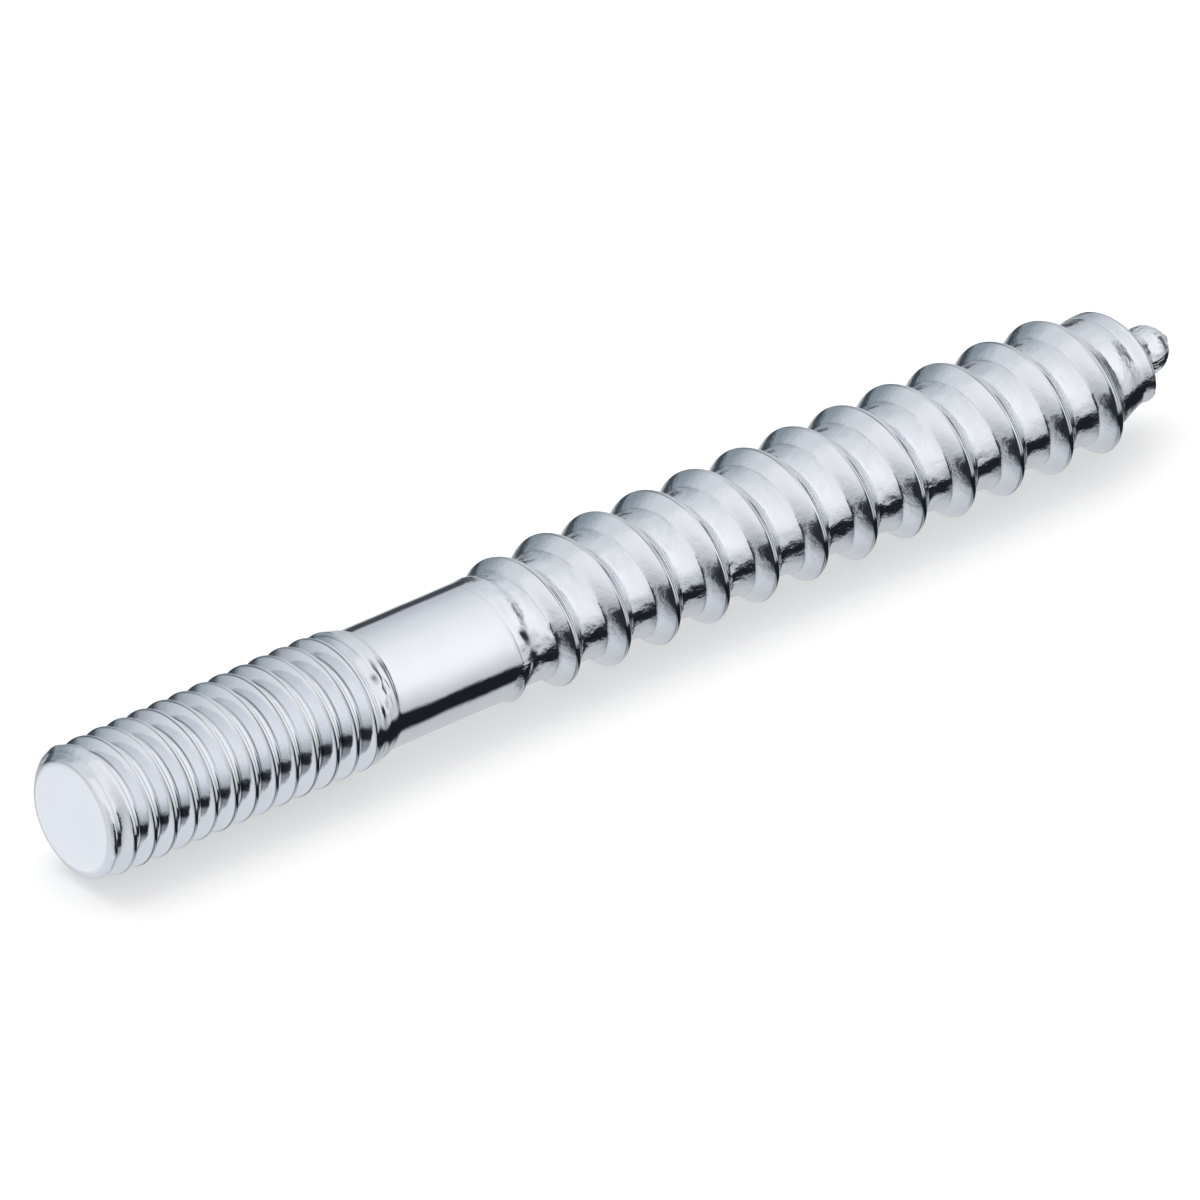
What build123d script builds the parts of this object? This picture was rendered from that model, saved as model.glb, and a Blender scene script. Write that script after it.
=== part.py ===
from build123d import *
import os

# A hanger bolt, 5/16 in by 3 in, one rolled piece of steel: a machine thread for a nut at
# one end, a plain shank, and a coarse wood thread that runs out on a blunt gimlet point.
# It lies on a flat surface with its axis along +X and its machine end at -X.
# The origin is on that surface, below the middle of the bolt. All sizes are in millimetres.

# Lengths along the axis, from the face of the machine end to the tip
overall_length = 77.45
machine_length = 19.3
machine_runout = 0.9
shank_length = 8.0
shank_step = 1.4
point_length = 5.65

# Machine end: the fine thread's outside, 18 turns to the inch, without its turns
machine_radius = 3.94
end_face_radius = 3.21
end_chamfer_length = 0.8

# Plain shank: the blank that both threads are rolled from
shank_radius = 3.515

# Wood thread: a coarse right-hand ridge on a thinner core, whose foot goes foot_sink deep into it
wood_pitch = 3.5
wood_radius = 4.19
wood_root_radius = 3.23
crest_width = 0.26
front_flank = 1.24
back_flank = 0.98
front_foot_width = 0.42
front_foot_height = 0.17
foot_sink = 0.12

# Run-in: the ridge rises out of the shank's end, and its crest starts at the top of the bolt
runin_half_turns = 2
runin_overlap = 0.35
runin_sink = 0.045

# Ridge on the point: crest radius, share of the full ridge's size, and sink after each half turn
point = ((3.39, 0.9, 0.5), (2.36, 0.66, 0.7), (1.12, 0.4, 0.5))
loft_steps = 6

# Gimlet point: the core tapers in two steps to a neck and ends in a round nub
waist_length = 2.5
waist_radius = 2.35
neck_length = 1.3
neck_radius = 1.2
nub_radius = 1.36

# Places along the axis that follow from the lengths
shank_start = machine_length + machine_runout
shank_end = shank_start + shank_length
root_start = shank_end + shank_step
taper_start = overall_length - point_length
waist = taper_start + waist_length
neck = waist + neck_length
nub_centre = overall_length - nub_radius
first_crest = shank_end - runin_overlap
full_start = first_crest + runin_half_turns * wood_pitch / 2
full_half_turns = int((taper_start - full_start) / (wood_pitch / 2))

# Frame: the bolt rests on the surface, with its middle over the origin
axis_height = max(wood_radius, machine_radius)
end_face_x = -overall_length / 2
bolt_axis = Axis((0, 0, axis_height), (1, 0, 0))
axis_plane = Plane(origin=(end_face_x, 0, axis_height), x_dir=(1, 0, 0), z_dir=(0, -1, 0))


def ridge_section(plane, share, sink):
    """The ridge's outline on a plane whose origin is on the crest, made smaller by share."""
    height = share * (wood_radius - wood_root_radius)
    half_crest = share * crest_width / 2
    front = half_crest + share * front_flank
    back = half_crest + share * back_flank
    with BuildSketch(plane) as section:
        with BuildLine():
            Polyline(
                (-front, -height - sink),
                (-front, -height),
                (-front + share * front_foot_width, share * front_foot_height - height),
                (-half_crest, 0),
                (half_crest, 0),
                (back, -height),
                (back, -height - sink),
                close=True,
            )
        make_face()
    return section.sketch


def full_half_turn():
    """Half a turn of the full ridge about the X axis, which starts above it."""
    top = Plane(origin=(0, 0, wood_radius), x_dir=(1, 0, 0), z_dir=(0, -1, 0))
    with BuildPart() as ridge:
        with BuildLine() as path:
            Helix(pitch=wood_pitch, height=wood_pitch / 2, radius=wood_radius, direction=(1, 0, 0))
        sweep(sections=ridge_section(top, 1, foot_sink), path=path.edges(), is_frenet=True)
    return ridge.part


def tapered_half_turn(start, end):
    """As full_half_turn, but crest radius, share and sink go evenly from those of start to those of end."""
    sections = []
    for step in range(loft_steps + 1):
        part_way = step / loft_steps
        outward = Vector(0, 0, 1).rotate(Axis.X, 180 * part_way)
        radius, share, sink = (first + (last - first) * part_way for first, last in zip(start, end))
        plane = Plane(
            origin=Vector(part_way * wood_pitch / 2, 0, 0) + outward * radius,
            x_dir=(1, 0, 0),
            z_dir=Vector(1, 0, 0).cross(outward),
        )
        sections.append(ridge_section(plane, share, sink))
    with BuildPart() as ridge:
        loft(sections=sections)
    return ridge.part


# The core: machine end, shank, wood thread root and point
with BuildPart() as core:
    with BuildSketch(axis_plane):
        with BuildLine():
            Polyline(
                (0, 0),
                (0, end_face_radius),
                (end_chamfer_length, machine_radius),
                (machine_length, machine_radius),
                (shank_start, shank_radius),
                (shank_end, shank_radius),
                (root_start, wood_root_radius),
                (taper_start, wood_root_radius),
                (waist, waist_radius),
                (neck, neck_radius),
                (nub_centre, neck_radius),
                (nub_centre, 0),
                (0, 0),
            )
        make_face()
    revolve(axis=bolt_axis)
    with BuildSketch(axis_plane):
        with BuildLine():
            Line((nub_centre - nub_radius, 0), (overall_length, 0))
            ThreePointArc((overall_length, 0), (nub_centre, nub_radius), (nub_centre - nub_radius, 0))
        make_face()
    revolve(axis=bolt_axis)

# The wood thread in half turns: those of the run-in, the full ones, and those on the point
first_radius = shank_radius - runin_sink
rise = (wood_radius - first_radius) / runin_half_turns
runin = [(first_radius + rise * count, 1, foot_sink) for count in range(runin_half_turns)]
full = (wood_radius, 1, foot_sink)
half_turns = [tapered_half_turn(start, end) for start, end in zip(runin, runin[1:] + [full])]
half_turns += [full_half_turn()] * full_half_turns
half_turns += [tapered_half_turn(start, end) for start, end in zip((full, *point), point)]

# The whole bolt: the core and the ridge, each half turn rotated on from the one before
with BuildPart() as hanger_bolt:
    add(core)
    for count, half_turn in enumerate(half_turns):
        start_x = end_face_x + first_crest + count * wood_pitch / 2
        add(half_turn.moved(Location((start_x, 0, axis_height), (180 * count, 0, 0))))

hanger_bolt.part.label = "hanger_bolt"
os.makedirs("parts", exist_ok=True)
export_step(hanger_bolt.part, "parts/hanger_bolt.step")
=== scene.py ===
"""A hanger bolt in bright zinc, lying on a pale studio floor.

The bolt is one piece of steel. Its dressed surface stands for the plain solid and
adds the turns of the fine machine thread, the rolled form of the wood thread and the
small faults that rolling leaves. Lengths inside the classes are in millimetres, counted
from the face of the machine end; the meshes themselves are in metres.
"""

import logging
from dataclasses import dataclass, field
from enum import Enum

import bpy
import numpy as np
from mathutils import Matrix, Vector


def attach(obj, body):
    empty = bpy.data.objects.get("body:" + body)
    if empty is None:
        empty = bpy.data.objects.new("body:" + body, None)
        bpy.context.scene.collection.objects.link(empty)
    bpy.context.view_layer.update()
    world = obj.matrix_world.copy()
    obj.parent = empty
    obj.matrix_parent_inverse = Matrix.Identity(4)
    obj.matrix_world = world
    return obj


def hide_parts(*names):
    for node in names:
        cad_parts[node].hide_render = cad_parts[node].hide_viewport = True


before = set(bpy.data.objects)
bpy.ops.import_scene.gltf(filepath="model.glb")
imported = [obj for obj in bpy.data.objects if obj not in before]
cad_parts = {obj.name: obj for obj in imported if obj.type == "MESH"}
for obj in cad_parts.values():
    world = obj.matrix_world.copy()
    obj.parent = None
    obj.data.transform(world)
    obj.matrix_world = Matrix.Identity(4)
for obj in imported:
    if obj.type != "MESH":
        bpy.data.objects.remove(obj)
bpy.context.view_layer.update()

LOG = logging.getLogger("hanger_bolt")
MM = 0.001
FULL_TURN = 2.0 * np.pi

Points = tuple[tuple[float, float], ...]
Colour = tuple[float, float, float]


def smooth_min(first: np.ndarray, second: np.ndarray | float, width: float) -> np.ndarray:
    """Give the smaller of two values, with the corner between them rounded.

    Args:
        first: One set of values.
        second: The other set, or one value.
        width: How far apart the two may be and still be blended.

    Returns:
        The smaller value at each place, a little less near the corner.
    """
    near = np.clip(1.0 - np.abs(first - second) / width, 0.0, 1.0)
    return np.minimum(first, second) - near * near * width / 4.0


def smooth_max(first: np.ndarray, second: np.ndarray | float, width: float) -> np.ndarray:
    """Give the larger of two values, with the corner between them rounded."""
    return -smooth_min(-first, -second, width)


def ease(low: float, high: float, value: np.ndarray) -> np.ndarray:
    """Go from 0 to 1 with soft ends.

    Args:
        low: Where the rise starts.
        high: Where the rise ends.
        value: The places asked for.

    Returns:
        0 below low, 1 above high, and a smooth step between.
    """
    part_way = np.clip((value - low) / (high - low), 0.0, 1.0)
    return part_way * part_way * (3.0 - 2.0 * part_way)


def follow(points: Points, value: np.ndarray) -> np.ndarray:
    """Read a height off a chain of points joined by soft steps that never overshoot.

    Args:
        points: Pairs of place and height, in order.
        value: The places asked for.

    Returns:
        The height at each place.
    """
    places, heights = np.array(points).T
    rises = np.diff(heights) / np.diff(places)
    same_way = rises[:-1] * rises[1:] > 0.0
    both = np.where(same_way, rises[:-1] + rises[1:], 1.0)
    between = np.where(same_way, 2.0 * rises[:-1] * rises[1:] / both, 0.0)
    slopes = np.concatenate([rises[:1], between, rises[-1:]])
    index = np.clip(np.searchsorted(places, value) - 1, 0, len(places) - 2)
    span = places[index + 1] - places[index]
    t = np.clip((value - places[index]) / span, 0.0, 1.0)
    return (
        heights[index] * (1 + 2 * t) * (1 - t) ** 2
        + slopes[index] * span * t * (1 - t) ** 2
        + heights[index + 1] * t * t * (3 - 2 * t)
        + slopes[index + 1] * span * t * t * (t - 1)
    )


def bell(value: np.ndarray, middle: float, width: float) -> np.ndarray:
    """Give 1 in the middle and less on both sides, almost 0 from twice the width on."""
    return np.exp(-(((value - middle) / width) ** 2))


@dataclass(frozen=True)
class Ripple:
    """Small random waves in a rolled surface, the same in every run.

    The waves close on themselves round the bolt.
    """

    seed: int
    longest: float
    shortest: float
    height: float
    waves: int = 14

    def at(self, x: np.ndarray, angle: np.ndarray, radius: float = 3.6) -> np.ndarray:
        """Give the ripple's height.

        Args:
            x: Places along the bolt.
            angle: Angles round the bolt, in radians.
            radius: The radius at which a wave round the bolt is measured.

        Returns:
            The height in millimetres, between about plus and minus the given height.
        """
        rng = np.random.default_rng(self.seed)
        total = np.zeros_like(x)
        for _ in range(self.waves):
            length = np.exp(rng.uniform(np.log(self.shortest), np.log(self.longest)))
            heading, start = rng.uniform(0.0, FULL_TURN, 2)
            turns = round(np.sin(heading) * FULL_TURN * radius / length)
            total += np.sin(FULL_TURN * x * np.cos(heading) / length + turns * angle + start)
        return total * self.height / np.sqrt(self.waves)


@dataclass(frozen=True)
class Dent:
    """A small ring dent or nick, pressed into the surface.

    rim is the height of the ring round it as a share of its depth, and dark is how dark the
    painted shadow in it is.
    """

    x: float
    angle: float
    radius: float
    depth: float
    rim: float = 0.5
    dark: float = 0.0

    def reach(self, x: np.ndarray, angle: np.ndarray, body: float = 3.4) -> np.ndarray:
        """Give the distance from the dent's middle.

        Args:
            x: Places along the bolt.
            angle: Angles round the bolt, in radians.
            body: The radius of the surface that the dent is in.

        Returns:
            The distance as a share of the dent's own radius.
        """
        aside = (angle - np.radians(self.angle) + np.pi) % FULL_TURN - np.pi
        return np.hypot(x - self.x, aside * body) / self.radius

    def hollow(self, x: np.ndarray, angle: np.ndarray) -> np.ndarray:
        """Give 1 in the middle of the dent, and less towards its rim."""
        return bell(self.reach(x, angle), 0.0, 0.6)

    def change(self, x: np.ndarray, angle: np.ndarray) -> np.ndarray:
        """Give the dent's change of radius: a hollow below zero and a low rim round it."""
        ring = bell(self.reach(x, angle), 1.0, 0.28)
        return self.depth * (self.rim * ring - self.hollow(x, angle))


@dataclass(frozen=True)
class RolledThread:
    """A right-hand thread as its rolling dies leave it.

    first_crest is where the crest passes the top of the bolt. The outline gives pairs of phase,
    from half a pitch before the crest to half a pitch after it, and share of the height.
    """

    pitch: float
    first_crest: float
    outline: Points

    def phase(self, x: np.ndarray, angle: np.ndarray) -> np.ndarray:
        """Give the distance from the nearest crest in pitches, below 0 on its machine side."""
        return ((x - self.first_crest) / self.pitch - angle / FULL_TURN + 0.5) % 1.0 - 0.5

    def section(self, phase: np.ndarray, narrowing: np.ndarray | float = 1.0) -> np.ndarray:
        """Give the thread's outline as a share of its height.

        Args:
            phase: Distance from the crest in pitches.
            narrowing: How wide the ridge is, as a share of its full width.

        Returns:
            1 on the crest and about 0 at the root.
        """
        before = tuple((place - 1.0, share) for place, share in self.outline[-2:])
        after = tuple((place + 1.0, share) for place, share in self.outline[:2])
        return follow(before + self.outline + after, np.clip(phase / narrowing, -0.5, 0.5))


@dataclass
class MachineEnd:
    """The fine thread for a nut, with its rounded end and its run-out.

    The grooves get their full depth between the two places of cut_in and lose it between those
    of run_out. crest gives pairs of place and crest radius.
    """

    root_radius: float = 3.1
    full_crest: float = 3.93
    cut_in: tuple[float, float] = (-0.2, 1.2)
    run_out: tuple[float, float] = (17.7, 19.3)
    edge_line: float = -0.055
    root_line: float = -0.375
    line_width: float = 0.02
    thread: RolledThread = RolledThread(
        pitch=25.4 / 18.0,
        first_crest=1.056,
        outline=(
            (-0.47, 0.01),
            (-0.42, 0.05),
            (-0.37, 0.155),
            (-0.27, 0.42),
            (-0.17, 0.7),
            (-0.09, 0.91),
            (-0.05, 0.965),
            (0.01, 1.0),
            (0.07, 0.975),
            (0.12, 0.87),
            (0.17, 0.73),
            (0.27, 0.44),
            (0.34, 0.2),
            (0.39, 0.07),
            (0.44, 0.01),
        ),
    )
    crest: Points = (
        (0.0, 3.3),
        (0.2, 3.56),
        (0.5, 3.78),
        (0.9, 3.87),
        (2.0, 3.9),
        (10.0, 3.93),
        (18.0, 3.98),
        (19.0, 3.93),
        (19.5, 3.8),
        (19.95, 3.7),
        (20.3, 3.53),
        (20.7, 3.515),
        (40.0, 3.515),
    )

    def depth(self, x: np.ndarray, angle: np.ndarray) -> np.ndarray:
        """Give how far the surface lies below the crests.

        Args:
            x: Places along the bolt.
            angle: Angles round the bolt, in radians.

        Returns:
            The depth of the groove in millimetres.
        """
        full = follow(self.crest, x) - self.root_radius
        groove = 1.0 - self.thread.section(self.thread.phase(x, angle))
        return full * groove * ease(*self.cut_in, x) * (1.0 - ease(*self.run_out, x))

    def lines(self, x: np.ndarray, angle: np.ndarray) -> np.ndarray:
        """Give how dark the painted shade is in the thin streak in front of the crest and in the
        crease at the root.

        Args:
            x: Places along the bolt.
            angle: Angles round the bolt, in radians.

        Returns:
            0 away from the painted shade, up to 1 in a line.
        """
        phase = self.thread.phase(x, angle)
        # Painted shade: a thin dark streak in front of the crest and one in the crease at the
        # root.
        edge = bell(phase, self.edge_line, self.line_width)
        crease = 0.85 * bell(phase, self.root_line, self.line_width)
        wander = 0.65 + 0.35 * np.sin(2.0 * angle + 1.1 * x)
        return (edge + crease) * wander * ease(1.0, 2.0, x) * (1.0 - ease(18.6, 19.2, x))


@dataclass
class WoodEnd:
    """The coarse thread for wood, from its run-in to the blunt gimlet point.

    crest gives pairs of place and crest radius. lip_line, seam_line and foot_line are the phases
    of the three thin streaks of painted shade that run along the ridge.
    """

    thread: RolledThread = RolledThread(
        pitch=3.5,
        first_crest=27.85,
        outline=(
            (-0.46, 0.075),
            (-0.4, 0.105),
            (-0.31, 0.155),
            (-0.285, 0.185),
            (-0.255, 0.215),
            (-0.21, 0.375),
            (-0.17, 0.52),
            (-0.13, 0.655),
            (-0.09, 0.78),
            (-0.06, 0.865),
            (-0.03, 0.945),
            (0.0, 1.0),
            (0.015, 0.995),
            (0.03, 0.955),
            (0.05, 0.935),
            (0.07, 0.91),
            (0.1, 0.83),
            (0.15, 0.58),
            (0.2, 0.37),
            (0.26, 0.16),
            (0.33, 0.01),
            (0.4, 0.03),
            (0.47, 0.058),
        ),
    )
    crest: Points = (
        (26.0, 3.2),
        (27.9, 3.42),
        (28.6, 3.52),
        (29.23, 3.74),
        (30.1, 3.87),
        (30.98, 3.98),
        (32.73, 4.08),
        (34.5, 4.13),
        (38.0, 4.16),
        (71.5, 4.16),
        (72.2, 4.05),
        (72.98, 3.6),
        (74.73, 2.6),
        (76.48, 1.5),
        (77.45, 0.6),
    )
    full_height: float = 0.95
    narrowest: float = 0.3
    lip_line: float = -0.012
    seam_line: float = 0.03
    foot_line: float = -0.255

    def drift(self, x: np.ndarray) -> np.ndarray:
        """Give how far the crest has run ahead of its pitch, as it does on the point."""
        return 0.3 * ease(70.8, 73.2, x)

    def ridge(self, x: np.ndarray, angle: np.ndarray, core: np.ndarray) -> np.ndarray:
        """Give the ridge's height over the core.

        Args:
            x: Places along the bolt.
            angle: Angles round the bolt, in radians.
            core: The core's radius at each place.

        Returns:
            The height in millimetres, 0 away from the thread.
        """
        height = smooth_max(follow(self.crest, x) - core, 0.0, 0.12) * ease(26.6, 27.8, x)
        narrowing = np.clip((height / self.full_height) ** 0.6, self.narrowest, 1.0)
        return height * self.thread.section(self.thread.phase(x - self.drift(x), angle), narrowing)

    def lines(self, x: np.ndarray, angle: np.ndarray) -> np.ndarray:
        """Give how dark the painted shade is along the crest's lip and seam and in the crease at
        the ridge's foot.

        Args:
            x: Places along the bolt.
            angle: Angles round the bolt, in radians.

        Returns:
            0 where the plate is clean, up to 1 in a line.
        """
        phase = self.thread.phase(x - self.drift(x), angle)
        near = 0.55 + 0.45 * np.sin(3.0 * angle + 0.8 * x)
        far = 0.6 + 0.4 * np.sin(5.0 * angle - 1.3 * x + 1.0)
        # Painted shade along the crest's lip and seam and in the crease at the ridge's foot.
        lip = 0.8 * near * bell(phase, self.lip_line, 0.009)
        seam = 0.6 * far * bell(phase, self.seam_line, 0.011)
        foot = 0.28 * near * bell(phase, self.foot_line, 0.008)
        return (lip + seam + foot) * ease(27.6, 28.6, x) * (1.0 - ease(75.6, 76.2, x))


@dataclass
class Core:
    """The bolt without its ridge: end face, shank, the wood thread's root and the point.

    neck is where the nub begins, and nub_round how far from the tip it is round, in degrees.
    nub_lift is how far it stands off the axis, towards nub_side, which gives y and z.
    """

    overall_length: float = 77.45
    shank_radius: float = 3.515
    root_radius: float = 3.21
    neck: float = 75.62
    nub_radius: float = 1.36
    nub_round: float = 112.0
    nub_lift: float = 0.16
    nub_side: tuple[float, float] = (0.6212, 0.7835)

    def meridian(self) -> tuple[np.ndarray, np.ndarray, np.ndarray]:
        """Give the outline from the flat end face to the tip.

        Returns:
            Distance along the outline, place along the axis and radius at each point. The
            distance is the axial place on the body, and goes on round the two ends.
        """
        face_round = [(0.0, 2.75), (0.0, 2.95), (0.03, 3.12), (0.1, 3.31), (0.24, 3.52)]
        nub_centre = self.overall_length - self.nub_radius
        nub = [
            (nub_centre + self.nub_radius * np.cos(turn), self.nub_radius * np.sin(turn))
            for turn in np.linspace(np.radians(self.nub_round), 0.0, 60)
        ]
        body = [
            (place, float(self.radius(np.array(place))))
            for place in np.arange(0.4, self.neck, 0.1)
            if place < nub[0][0] - 0.05
        ]
        x, radius = np.array(face_round + body + nub).T
        steps = np.maximum(np.abs(np.diff(x)), np.abs(np.diff(radius)))
        along = np.concatenate([[0.0], np.cumsum(steps)])
        on_body = 10.0
        return along + on_body - np.interp(on_body, x, along), x, np.maximum(radius, 0.0)

    def radius(self, x: np.ndarray) -> np.ndarray:
        """Give the core's radius.

        Args:
            x: Places along the bolt, between the end face and the neck.

        Returns:
            The radius in millimetres, without the wood thread's ridge.
        """
        machine = follow(MachineEnd().crest, x)
        wood: Points = (
            (20.0, self.shank_radius),
            (28.2, self.shank_radius),
            (29.0, self.shank_radius + 0.02),
            (29.45, self.shank_radius - 0.06),
            (29.75, self.root_radius + 0.08),
            (30.2, self.root_radius),
            (71.2, self.root_radius),
            (72.2, 3.12),
            (73.15, 2.8),
            (73.9, 2.5),
            (74.5, 2.22),
            (75.1, 1.66),
            (75.6, 1.28),
            (76.0, 1.2),
        )
        run_out_end = 20.6
        return np.where(x < run_out_end, machine, follow(wood, x))


class Mark(Enum):
    """Marks the surface carries from place to place: the dies' work, and painted shade in creases
    and dents.
    """

    WORKED = "worked"
    HAMMERED = "hammered"
    PAINTED_LINE_SHADE = "lines"


@dataclass(frozen=True)
class BrightZinc:
    """Bright zinc plate over rolled steel: a cool mirror with a faint haze.

    smooth and hazy are the roughness of clean and of worked plate, cloud_scale and dimple_scale
    the sizes of the haze's clouds and of the dimples, in waves to the metre, and calm and
    hammered how strong the dimples are on plain and on hammered steel.
    """

    colour: Colour = (0.9, 0.92, 0.95)
    haze_colour: Colour = (0.805, 0.83, 0.865)
    # Painted shade of the thin creases, the seam and the dents.
    line_shade_colour: Colour = (0.04, 0.045, 0.055)
    smooth: float = 0.05
    hazy: float = 0.19
    cloud_scale: float = 420.0
    cloud_share: float = 0.32
    dimple_scale: float = 2100.0
    dimple_depth: float = 0.00007
    calm: float = 0.07
    hammered: float = 0.75

    def material(self) -> bpy.types.Material:
        """Make the finish as a procedural material.

        Returns:
            A metal whose haze, tint and fine dimples follow the steel's own surface.
        """
        material = bpy.data.materials.new("bright_zinc")
        material.use_nodes = True
        tree = material.node_tree
        shader = tree.nodes["Principled BSDF"]
        shader.inputs["Metallic"].default_value = 1.0
        place = tree.nodes.new("ShaderNodeTexCoord").outputs["Object"]

        def noise(scale: float, detail: float, roughness: float = 0.5) -> bpy.types.NodeSocket:
            """Make a noise texture on the bolt's own coordinates.

            Args:
                scale: Waves to the metre.
                detail: How many finer layers it has.
                roughness: How strong the finer layers are.

            Returns:
                The texture's output.
            """
            node = tree.nodes.new("ShaderNodeTexNoise")
            node.inputs["Scale"].default_value = scale
            node.inputs["Detail"].default_value = detail
            node.inputs["Roughness"].default_value = roughness
            tree.links.new(place, node.inputs["Vector"])
            return node.outputs["Fac"]

        def remap(
            value: bpy.types.NodeSocket, low: float, high: float, to: tuple[float, float]
        ) -> bpy.types.NodeSocket:
            """Stretch a value's range.

            Args:
                value: The value.
                low: What becomes the first of to.
                high: What becomes the second of to.
                to: The new range.

            Returns:
                The new value.
            """
            node = tree.nodes.new("ShaderNodeMapRange")
            node.inputs["From Min"].default_value = low
            node.inputs["From Max"].default_value = high
            node.inputs["To Min"].default_value = to[0]
            node.inputs["To Max"].default_value = to[1]
            tree.links.new(value, node.inputs["Value"])
            return node.outputs["Result"]

        def mark(kind: Mark) -> bpy.types.NodeSocket:
            """Read one of the marks that the dies left on the surface.

            Args:
                kind: Which mark.

            Returns:
                Its strength, from 0 to 1.
            """
            node = tree.nodes.new("ShaderNodeAttribute")
            node.attribute_name = kind.value
            return node.outputs["Fac"]

        cloud = remap(noise(self.cloud_scale, 4.0), 0.35, 0.7, (0.0, 1.0))
        haze = tree.nodes.new("ShaderNodeMath")
        haze.operation = "MULTIPLY_ADD"
        haze.use_clamp = True
        tree.links.new(cloud, haze.inputs[0])
        haze.inputs[1].default_value = self.cloud_share
        tree.links.new(mark(Mark.WORKED), haze.inputs[2])

        mix = tree.nodes.new("ShaderNodeMix")
        mix.data_type = "RGBA"
        mix.inputs["A"].default_value = (*self.colour, 1.0)
        mix.inputs["B"].default_value = (*self.haze_colour, 1.0)
        tree.links.new(haze.outputs[0], mix.inputs["Factor"])
        # Painted shade: thin dark streaks in the creases, along the seam and in the dents, mixed
        # into the base colour.
        line_shade_mix = tree.nodes.new("ShaderNodeMix")
        line_shade_mix.data_type = "RGBA"
        line_shade_mix.inputs["B"].default_value = (*self.line_shade_colour, 1.0)
        tree.links.new(mark(Mark.PAINTED_LINE_SHADE), line_shade_mix.inputs["Factor"])
        tree.links.new(mix.outputs["Result"], line_shade_mix.inputs["A"])
        tree.links.new(line_shade_mix.outputs["Result"], shader.inputs["Base Color"])
        roughness = remap(haze.outputs[0], 0.0, 1.0, (self.smooth, self.hazy))
        tree.links.new(roughness, shader.inputs["Roughness"])

        bump = tree.nodes.new("ShaderNodeBump")
        strength = remap(mark(Mark.HAMMERED), 0.0, 1.0, (self.calm, self.hammered))
        tree.links.new(strength, bump.inputs["Strength"])
        bump.inputs["Distance"].default_value = self.dimple_depth
        tree.links.new(noise(self.dimple_scale, 4.0, 0.55), bump.inputs["Height"])
        tree.links.new(bump.outputs["Normal"], shader.inputs["Normal"])
        return material


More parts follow.
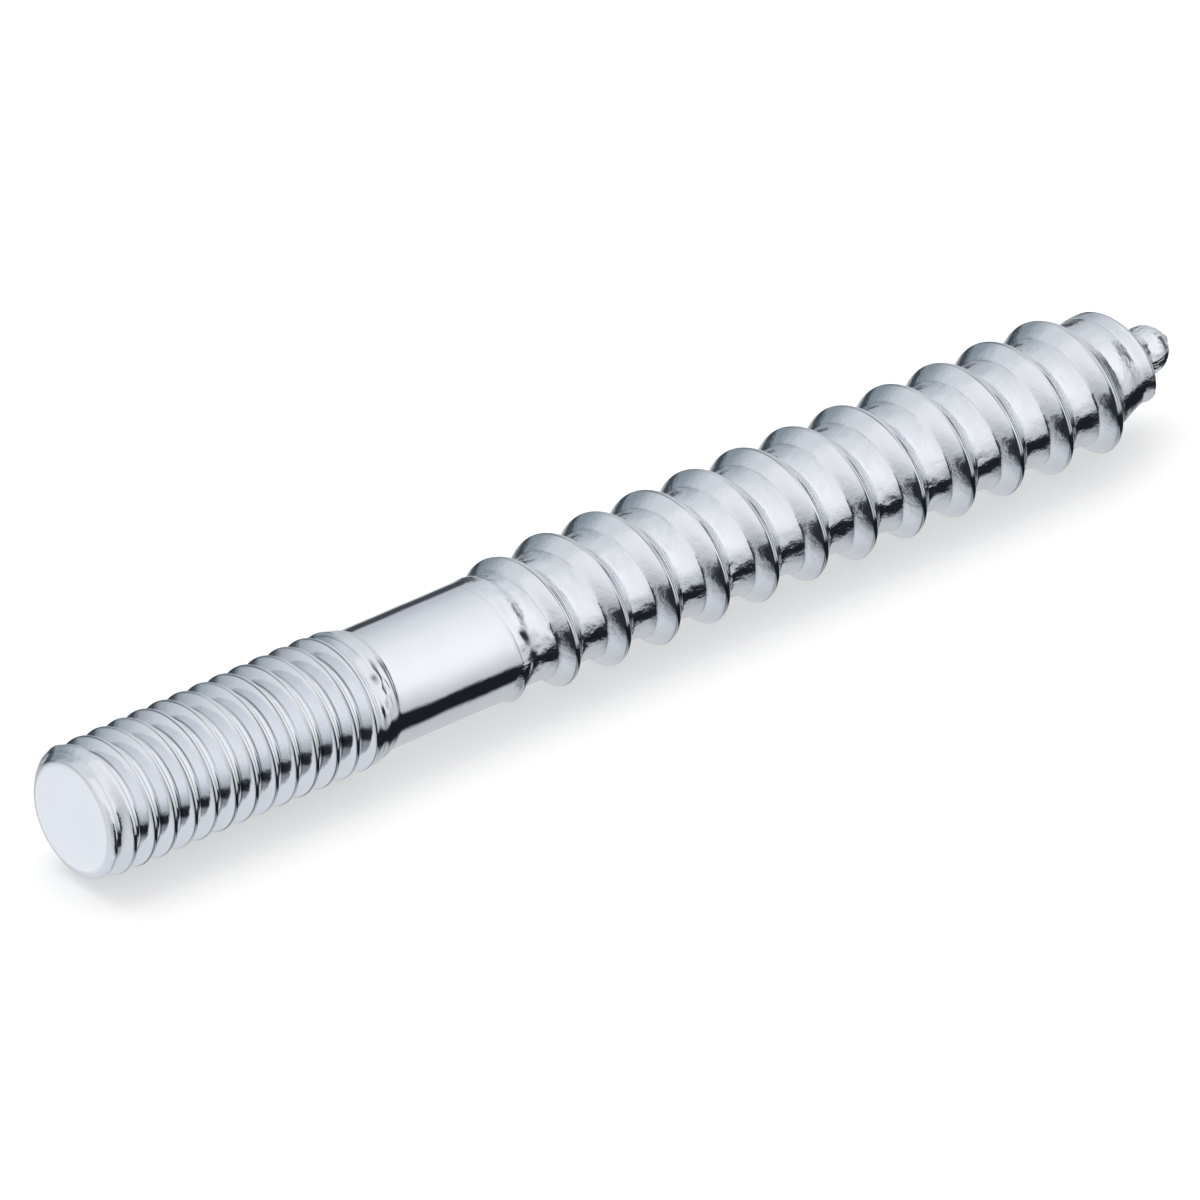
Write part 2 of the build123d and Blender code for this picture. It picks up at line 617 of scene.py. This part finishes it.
@dataclass
class HangerBolt:
    """The whole bolt as one closed surface whose rows of faces follow the threads.

    columns is the number of faces round the bolt, and wood_rows and machine_rows are the places
    of one turn's rows, in pitches from the crest. rest_height is how high the axis lies above the
    floor, and widest the largest radius that the solid allows.

    face_edge gives the radii between which the grooves rise out of the end face. rim, tip and
    nub_rise give the places between which the rounded end, the point and the nub's offset begin
    or end. Steel lower than root_height over the core, from root_from on, is the wood thread's
    root, and the machine thread's flanks count up to machined_to. broad, root_waves and tip_waves
    are the low waves all over, at the root and the rounded end, and on the point.
    """

    machine: MachineEnd = field(default_factory=MachineEnd)
    wood: WoodEnd = field(default_factory=WoodEnd)
    core: Core = field(default_factory=Core)
    finish: BrightZinc = BrightZinc()
    columns: int = 96
    turns_on_face: int = 6
    machine_turns: int = 13
    shank_turns: int = 3
    wood_turns: int = 16
    rest_height: float = 4.19
    widest: float = 4.188
    face_edge: tuple[float, float] = (2.75, 3.6)
    rim: tuple[float, float] = (0.8, 2.4)
    machined_to: float = 19.0
    root_from: float = 28.5
    root_height: float = 0.3
    tip: tuple[float, float] = (73.6, 75.6)
    nub_rise: tuple[float, float] = (74.4, 76.2)
    broad: Ripple = Ripple(seed=11, longest=9.0, shortest=2.5, height=0.010)
    root_waves: Ripple = Ripple(seed=5, longest=1.7, shortest=0.55, height=0.022)
    tip_waves: Ripple = Ripple(seed=8, longest=1.3, shortest=0.5, height=0.022)
    wood_rows: tuple[float, ...] = (
        0.0, 0.01, 0.02, 0.03, 0.04, 0.05, 0.062, 0.085, 0.115, 0.15, 0.19, 0.24, 0.29, 0.35,
        0.42, 0.5, 0.58, 0.65, 0.705, 0.732, 0.745, 0.758, 0.785, 0.83, 0.88, 0.93, 0.97, 0.988,
    )
    machine_rows: tuple[float, ...] = (
        0.0, 0.03, 0.055, 0.08, 0.105, 0.14, 0.18, 0.22, 0.26, 0.3, 0.34, 0.375, 0.41, 0.455,
        0.5, 0.545, 0.59, 0.625, 0.66, 0.7, 0.74, 0.78, 0.82, 0.86, 0.895, 0.92, 0.945, 0.97,
    )
    dents: tuple[Dent, ...] = (
        Dent(x=54.9, angle=84.0, radius=0.42, depth=0.06),
        Dent(x=61.6, angle=83.0, radius=0.38, depth=0.06),
        Dent(x=43.7, angle=86.0, radius=0.5, depth=0.06),
        Dent(x=36.9, angle=80.0, radius=0.35, depth=0.06),
        Dent(x=29.25, angle=61.0, radius=0.36, depth=0.12, rim=0.3, dark=2.0),
        Dent(x=29.4, angle=67.0, radius=0.36, depth=0.12, rim=0.3, dark=2.0),
        Dent(x=30.3, angle=70.0, radius=0.32, depth=0.06, rim=0.8, dark=0.25),
        Dent(x=30.75, angle=77.0, radius=0.3, depth=0.06, rim=0.8, dark=0.2),
        Dent(x=30.2, angle=81.0, radius=0.3, depth=0.05, rim=0.8),
        Dent(x=31.1, angle=69.0, radius=0.28, depth=0.05, rim=0.8, dark=0.2),
        Dent(x=19.05, angle=46.0, radius=0.3, depth=0.09, rim=0.6, dark=0.9),
        Dent(x=19.4, angle=56.0, radius=0.26, depth=0.07, rim=0.6, dark=0.6),
        Dent(x=19.25, angle=70.0, radius=0.3, depth=0.07, rim=0.6, dark=0.4),
    )

    def row_places(self) -> np.ndarray:
        """Give where each row crosses the top of the bolt.

        Returns:
            Places along the axis. Rows one turn apart lie one pitch apart on each thread.
        """
        fine, coarse = self.machine.thread, self.wood.thread
        machine = [
            fine.first_crest + fine.pitch * (turn + row)
            for turn in range(-self.turns_on_face, self.machine_turns)
            for row in self.machine_rows
        ]
        low = fine.first_crest + fine.pitch * self.machine_turns
        high = coarse.first_crest
        shank_rows = self.shank_turns * len(self.machine_rows)
        t = np.arange(shank_rows) / shank_rows
        shank = (
            low * (1 + 2 * t) * (1 - t) ** 2
            + fine.pitch * self.shank_turns * t * (1 - t) ** 2
            + high * t * t * (3 - 2 * t)
            + coarse.pitch * self.shank_turns * t * t * (t - 1)
        )
        wood = [
            coarse.first_crest + coarse.pitch * (turn + row)
            for turn in range(self.wood_turns)
            for row in self.wood_rows
        ]
        return np.concatenate([machine, shank, wood + self.wood.drift(np.array(wood))])

    def surface(self, along: np.ndarray, angle: np.ndarray) -> tuple[np.ndarray, np.ndarray]:
        """Work out the dressed surface.

        Args:
            along: Distance along the core's outline, equal to the axial place on the body.
            angle: Angles round the bolt from its top, in radians.

        Returns:
            Coordinates in metres, and the marks in the order of Mark, each from 0 to 1: how hard
            each place was worked, how hammered it is and how dark the painted shade in its
            creases, seam and dents is.
        """
        outline = self.core.meridian()
        x = np.interp(along, outline[0], outline[1])
        core = np.interp(along, outline[0], outline[2])

        groove = self.machine.depth(x, angle) * ease(*self.face_edge, core)
        ridge = self.wood.ridge(x, angle, core)
        raised = np.clip(ridge / self.wood.full_height, 0.0, 1.0)
        flank = 4.0 * raised * (1.0 - raised)
        turns = 1.0 - groove / (self.machine.full_crest - self.machine.root_radius)
        machined = (x < self.machined_to) * 4.0 * turns * (1.0 - turns)
        on_root = (x > self.root_from) * (1.0 - np.clip(ridge / self.root_height, 0.0, 1.0))
        on_rim = (1.0 - ease(*self.rim, x)) * ease(3.2, 3.5, core)
        on_tip = ease(*self.tip, x) * ease(0.1, 0.7, core)

        radius = core - groove + ridge
        radius = radius + self.broad.at(x, angle) * ease(3.0, 3.3, core)
        radius = radius + self.root_waves.at(x, angle) * (on_root + on_rim) * ease(2.0, 3.0, core)
        radius = radius + self.tip_waves.at(x, angle) * on_tip
        for dent in self.dents:
            radius = radius + dent.change(x, angle)
        radius = np.minimum(radius, self.widest)

        lift = self.core.nub_lift * ease(*self.nub_rise, x)
        y = -radius * np.sin(angle) + lift * self.core.nub_side[0]
        z = radius * np.cos(angle) + lift * self.core.nub_side[1] + self.rest_height
        place = np.stack([x - self.core.overall_length / 2.0, y, z], axis=-1) * MM

        # Painted shade in the creases and along the seam, and painted shadow in the dents.
        lines = self.machine.lines(x, angle) + self.wood.lines(x, angle)
        lines = lines + sum(dent.dark * dent.hollow(x, angle) for dent in self.dents)
        worked = 0.5 * flank + 0.35 * machined + 0.1 * on_root
        hammered = 0.55 * flank + 0.15 * machined + 0.75 * on_root + on_tip + 0.4 * on_rim
        marks = (worked, hammered, lines)
        return place, np.clip(np.stack(marks, axis=-1), 0.0, 1.0)

    def build(self) -> bpy.types.Object:
        """Build the bolt's mesh, row by row along the threads.

        Returns:
            The dressed bolt, riding on the part's one body.
        """
        rows = self.row_places()
        turn = len(self.machine_rows)
        count = len(rows) - turn
        share = np.arange(self.columns) / self.columns
        along = rows[:count, None] * (1.0 - share) + rows[turn:turn + count, None] * share
        angle = np.broadcast_to(share * FULL_TURN, along.shape)

        outline = self.core.meridian()[0]
        first, last = outline[0], outline[-1]

        place, marks = self.surface(along, angle)
        columns = self.columns
        number = np.arange(count * columns).reshape(count, columns) + columns + 1
        number = np.where(along <= first, np.arange(columns)[None, :], number)
        number = np.where(along >= last, columns, number)
        ring, ring_marks = self.surface(np.full(columns, first), share * FULL_TURN)
        tip, tip_marks = self.surface(np.array([last]), np.array([0.0]))
        vertices = np.concatenate([ring, tip, place.reshape(-1, 3)])
        values = np.concatenate([ring_marks, tip_marks, marks.reshape(-1, 3)])

        faces: list[tuple[int, ...]] = [tuple(range(columns))]
        for row in range(count - 1):
            for column in range(columns):
                ahead = column + 1
                low, high = row, row + 1
                if ahead == columns:
                    ahead = 0
                    low, high = row + turn, row + 1 + turn
                    if high >= count:
                        continue
                corners = (
                    number[row][column],
                    number[row + 1][column],
                    number[high][ahead],
                    number[low][ahead],
                )
                kept = tuple(dict.fromkeys(int(index) for index in corners))
                if len(kept) > 2:
                    faces.append(kept)

        used = sorted({index for face in faces for index in face})
        renumbered = {old: new for new, old in enumerate(used)}
        mesh = bpy.data.meshes.new("bolt_surface")
        mesh.from_pydata(
            [tuple(vertices[index]) for index in used],
            [],
            [tuple(renumbered[index] for index in face) for face in faces],
        )
        for index, kind in enumerate(Mark):
            attribute = mesh.attributes.new(kind.value, "FLOAT", "POINT")
            attribute.data.foreach_set("value", values[used, index].astype(np.float32))
        mesh.shade_smooth()
        mesh.materials.append(self.finish.material())
        bolt = bpy.data.objects.new("bolt_surface", mesh)
        bpy.context.scene.collection.objects.link(bolt)
        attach(bolt, "root")
        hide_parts("hanger_bolt")
        return bolt


class Rays(Enum):
    """Which rays the white of the room is there for."""

    CAMERA = "Is Camera Ray"
    GLOSSY = "Is Glossy Ray"
    TRANSMISSION = "Is Transmission Ray"


def seen_by(tree: bpy.types.NodeTree, rays: tuple[Rays, ...]) -> bpy.types.NodeSocket:
    """Tell the named rays from the rest.

    Args:
        tree: The node tree of a material or the world.
        rays: The rays to look for.

    Returns:
        A socket that is 1 for a ray of one of those kinds and 0 for any other.
    """
    path = tree.nodes.new("ShaderNodeLightPath")
    found = path.outputs[rays[0].value]
    for kind in rays[1:]:
        either = tree.nodes.new("ShaderNodeMath")
        either.operation = "MAXIMUM"
        tree.links.new(found, either.inputs[0])
        tree.links.new(path.outputs[kind.value], either.inputs[1])
        found = either.outputs[0]
    return found


@dataclass(frozen=True)
class SoftCard:
    """A studio card with soft edges, far out in the room, as the metal mirrors it.

    The angles are in degrees as seen from the bolt: heading from straight in front of it towards
    its point, height above the floor's level, half_wide and half_high from the card's middle.
    rise is how much higher the card hangs for each degree further round.
    """

    heading: float
    height: float
    rise: float
    half_wide: float
    half_high: float
    softness: float
    shade: Colour

    def hang(
        self,
        tree: bpy.types.NodeTree,
        looked: tuple[bpy.types.NodeSocket, bpy.types.NodeSocket],
        behind: bpy.types.NodeSocket,
    ) -> bpy.types.NodeSocket:
        """Hang the card in front of what is already in the room.

        Args:
            tree: The world's node tree.
            looked: The heading and the height that are looked at, in radians.
            behind: The room's colour without this card.

        Returns:
            The room's colour with the card.
        """
        heading, height = (float(np.radians(angle)) for angle in (self.heading, self.height))
        near = tree.nodes.new("ShaderNodeMath")
        near.operation = "WRAP"
        near.inputs[1].default_value = heading + np.pi
        near.inputs[2].default_value = heading - np.pi
        tree.links.new(looked[0], near.inputs[0])
        lean = tree.nodes.new("ShaderNodeMath")
        lean.operation = "MULTIPLY_ADD"
        lean.inputs[1].default_value = -self.rise
        tree.links.new(near.outputs[0], lean.inputs[0])
        tree.links.new(looked[1], lean.inputs[2])
        place = tree.nodes.new("ShaderNodeCombineXYZ")
        tree.links.new(near.outputs[0], place.inputs["X"])
        tree.links.new(lean.outputs[0], place.inputs["Y"])
        measure = tree.nodes.new("ShaderNodeMapping")
        measure.vector_type = "TEXTURE"
        measure.inputs["Location"].default_value = (heading, height - self.rise * heading, 0.0)
        half_size = (np.radians(self.half_wide), np.radians(self.half_high), 1.0)
        measure.inputs["Scale"].default_value = half_size
        tree.links.new(place.outputs[0], measure.inputs["Vector"])
        reach = tree.nodes.new("ShaderNodeVectorMath")
        reach.operation = "LENGTH"
        tree.links.new(measure.outputs[0], reach.inputs[0])
        cover = tree.nodes.new("ShaderNodeMapRange")
        cover.interpolation_type = "SMOOTHSTEP"
        cover.inputs["From Min"].default_value = 1.0 - self.softness
        cover.inputs["From Max"].default_value = 1.0 + self.softness
        cover.inputs["To Min"].default_value = 1.0
        cover.inputs["To Max"].default_value = 0.0
        tree.links.new(reach.outputs["Value"], cover.inputs["Value"])
        mix = tree.nodes.new("ShaderNodeMix")
        mix.data_type = "RGBA"
        tree.links.new(cover.outputs["Result"], mix.inputs["Factor"])
        tree.links.new(behind, mix.inputs["A"])
        mix.inputs["B"].default_value = (*self.shade, 1.0)
        return mix.outputs["Result"]


@dataclass
class Studio:
    """A pale floor, an even room with soft cards, a soft lamp and the camera.

    room_level is the even light on the floor. room_low and room_high are the walls that the metal
    mirrors, and between the two heights of room_edge, as shares of straight up, one fades into
    the other. camera_back points from the target to the camera, and camera_right to its right.
    The camera's target, the width that it sees and its lens are in millimetres.
    """

    floor_size: float = 6.0
    floor_colour: Colour = (0.6, 0.604, 0.608)
    floor_glow: float = 0.45
    room_level: float = 0.72
    room_low: Colour = (0.56, 0.58, 0.6)
    room_high: Colour = (0.71, 0.73, 0.765)
    room_edge: tuple[float, float] = (-0.1, 0.3)
    cards: tuple[SoftCard, ...] = (
        # Pale floor to the left, and the card that the end face mirrors
        SoftCard(-105.0, -55.0, 0.0, 95.0, 26.0, 0.6, (0.71, 0.73, 0.77)),
        SoftCard(-140.0, -31.0, 0.0, 26.0, 22.0, 0.5, (0.87, 0.885, 0.925)),
        # The two bright boxes over the bolt
        SoftCard(44.0, 30.0, 0.39, 54.0, 31.0, 1.0, (0.995, 1.0, 1.02)),
        SoftCard(-41.0, 39.0, 0.29, 67.0, 72.0, 0.31, (0.9, 0.91, 0.93)),
        # The dim wall behind, and the dim foreground
        SoftCard(181.0, 11.0, -0.1, 32.0, 30.0, 0.94, (0.25, 0.3, 0.34)),
        SoftCard(-7.0, -44.0, -0.52, 55.0, 32.0, 1.0, (0.22, 0.245, 0.275)),
        # Black gaps that the flanks, the lips and the crest's back mirror
        SoftCard(-30.0, -26.5, -0.14, 18.5, 16.5, 0.3, (0.02, 0.025, 0.03)),
        SoftCard(-21.0, -19.0, 0.0, 12.5, 27.0, 0.3, (0.025, 0.03, 0.035)),
        SoftCard(86.0, 4.0, 0.0, 15.0, 26.0, 0.4, (0.13, 0.15, 0.17)),
        # The black gap that shows as the band along the shank
        SoftCard(47.0, -38.9, 0.07, 84.0, 13.6, 0.26, (0.012, 0.015, 0.019)),
        # Dark edges behind the bolt, mirrored along its upper outline
        SoftCard(147.0, -2.0, 0.42, 5.0, 12.0, 0.4, (0.06, 0.07, 0.08)),
        SoftCard(-178.0, -7.7, 0.0, 25.0, 9.0, 0.5, (0.05, 0.064, 0.077)),
    )
    lamp_size: tuple[float, float] = (1.2, 0.9)
    lamp_power: float = 6.0
    lamp_place: tuple[float, float, float] = (0.1, 0.35, 1.0)
    camera_back: tuple[float, float, float] = (-0.5446, -0.657, 0.521)
    camera_target: tuple[float, float, float] = (-1.695, -0.342, 3.76)
    camera_right: tuple[float, float, float] = (0.7699, -0.6381, 0.0)
    view_width: float = 65.38
    lens_length: float = 1500.0
    sensor_width: float = 36.0

    def build_floor(self) -> bpy.types.Object:
        """Lay the floor, which keeps the bolt's shadow and is white elsewhere.

        The metal looks past it into the room, whose lower half is as pale.

        Returns:
            The floor.
        """
        half = self.floor_size / 2.0
        mesh = bpy.data.meshes.new("studio_floor")
        corners = [(-half, -half, 0.0), (half, -half, 0.0), (half, half, 0.0), (-half, half, 0.0)]
        mesh.from_pydata(corners, [], [(0, 1, 2, 3)])
        floor = bpy.data.objects.new("studio_floor", mesh)
        bpy.context.scene.collection.objects.link(floor)
        floor.visible_glossy = False
        material = bpy.data.materials.new("studio_floor")
        material.use_nodes = True
        tree = material.node_tree
        tree.nodes.clear()
        paper = tree.nodes.new("ShaderNodeBsdfDiffuse")
        paper.inputs["Color"].default_value = (*self.floor_colour, 1.0)
        strength = tree.nodes.new("ShaderNodeMath")
        strength.operation = "MULTIPLY"
        strength.inputs[1].default_value = self.floor_glow
        tree.links.new(seen_by(tree, tuple(Rays)), strength.inputs[0])
        glow = tree.nodes.new("ShaderNodeEmission")
        tree.links.new(strength.outputs[0], glow.inputs["Strength"])
        both = tree.nodes.new("ShaderNodeAddShader")
        tree.links.new(paper.outputs[0], both.inputs[0])
        tree.links.new(glow.outputs[0], both.inputs[1])
        output = tree.nodes.new("ShaderNodeOutputMaterial")
        tree.links.new(both.outputs[0], output.inputs["Surface"])
        mesh.materials.append(material)
        return floor

    def light_room(self) -> None:
        """Light the room evenly, with the soft cards where the metal looks into it."""
        world = bpy.data.worlds.new("studio_room")
        bpy.context.scene.world = world
        world.use_nodes = True
        tree = world.node_tree
        background = tree.nodes["Background"]

        direction = tree.nodes.new("ShaderNodeSeparateXYZ")
        looked_at = tree.nodes.new("ShaderNodeTexCoord").outputs["Generated"]
        tree.links.new(looked_at, direction.inputs[0])
        ahead = tree.nodes.new("ShaderNodeMath")
        ahead.operation = "MULTIPLY"
        ahead.inputs[1].default_value = -1.0
        tree.links.new(direction.outputs["Y"], ahead.inputs[0])
        heading = tree.nodes.new("ShaderNodeMath")
        heading.operation = "ARCTAN2"
        tree.links.new(direction.outputs["X"], heading.inputs[0])
        tree.links.new(ahead.outputs[0], heading.inputs[1])
        height = tree.nodes.new("ShaderNodeMath")
        height.operation = "ARCSINE"
        tree.links.new(direction.outputs["Z"], height.inputs[0])
        level = tree.nodes.new("ShaderNodeMapRange")
        level.interpolation_type = "SMOOTHSTEP"
        level.inputs["From Min"].default_value = self.room_edge[0]
        level.inputs["From Max"].default_value = self.room_edge[1]
        tree.links.new(direction.outputs["Z"], level.inputs["Value"])
        walls = tree.nodes.new("ShaderNodeMix")
        walls.data_type = "RGBA"
        walls.inputs["A"].default_value = (*self.room_low, 1.0)
        walls.inputs["B"].default_value = (*self.room_high, 1.0)
        tree.links.new(level.outputs["Result"], walls.inputs["Factor"])
        room = walls.outputs["Result"]
        for card in self.cards:
            room = card.hang(tree, (heading.outputs[0], height.outputs[0]), room)

        plain = tree.nodes.new("ShaderNodeMix")
        plain.data_type = "RGBA"
        plain.inputs["A"].default_value = (*(self.room_level,) * 3, 1.0)
        plain.inputs["B"].default_value = (1.0, 1.0, 1.0, 1.0)
        tree.links.new(seen_by(tree, (Rays.CAMERA, Rays.TRANSMISSION)), plain.inputs["Factor"])
        shown = tree.nodes.new("ShaderNodeMix")
        shown.data_type = "RGBA"
        tree.links.new(seen_by(tree, (Rays.GLOSSY,)), shown.inputs["Factor"])
        tree.links.new(plain.outputs["Result"], shown.inputs["A"])
        tree.links.new(room, shown.inputs["B"])
        tree.links.new(shown.outputs["Result"], background.inputs["Color"])

    def hang_lamp(self) -> bpy.types.Object:
        """Hang the large soft lamp over the bolt. The metal mirrors the cards and not the lamp.

        Returns:
            The lamp.
        """
        lamp = bpy.data.lights.new("soft_lamp", "AREA")
        lamp.shape = "RECTANGLE"
        lamp.size, lamp.size_y = self.lamp_size
        lamp.energy = self.lamp_power
        hung = bpy.data.objects.new("soft_lamp", lamp)
        hung.location = self.lamp_place
        hung.rotation_euler = (-Vector(self.lamp_place)).to_track_quat("-Z", "Y").to_euler()
        hung.visible_glossy = False
        bpy.context.scene.collection.objects.link(hung)
        return hung

    def place_camera(self) -> bpy.types.Object:
        """Stand the camera at the photograph's angle.

        Returns:
            The camera.
        """
        back = Vector(self.camera_back).normalized()
        across = Vector(self.camera_right).normalized()
        upward = back.cross(across)
        target = Vector(self.camera_target) * MM
        lens = bpy.data.cameras.new("camera")
        lens.lens = self.lens_length
        lens.sensor_width = self.sensor_width
        lens.clip_end = 50.0
        distance = self.view_width * MM * self.lens_length / self.sensor_width
        camera = bpy.data.objects.new("camera", lens)
        turn = Matrix((across, upward, back)).transposed().to_4x4()
        camera.matrix_world = Matrix.Translation(target + back * distance) @ turn
        bpy.context.scene.collection.objects.link(camera)
        bpy.context.scene.camera = camera
        return camera

    def build(self) -> tuple[bpy.types.Object, ...]:
        """Set up the floor, the room, the lamp and the camera.

        Returns:
            The floor, the lamp and the camera.
        """
        floor = self.build_floor()
        self.light_room()
        lamp = self.hang_lamp()
        camera = self.place_camera()
        bpy.context.scene.view_settings.view_transform = "Standard"
        return floor, lamp, camera


def main() -> None:
    """Build the bolt and its studio."""
    logging.basicConfig(level=logging.INFO, format="%(name)s: %(message)s")
    bolt = HangerBolt().build()
    LOG.info("%s has %d faces", bolt.name, len(bolt.data.polygons))
    for piece in Studio().build():
        LOG.info("%s is in place", piece.name)
    bpy.context.view_layer.update()


if __name__ == "__main__":
    main()
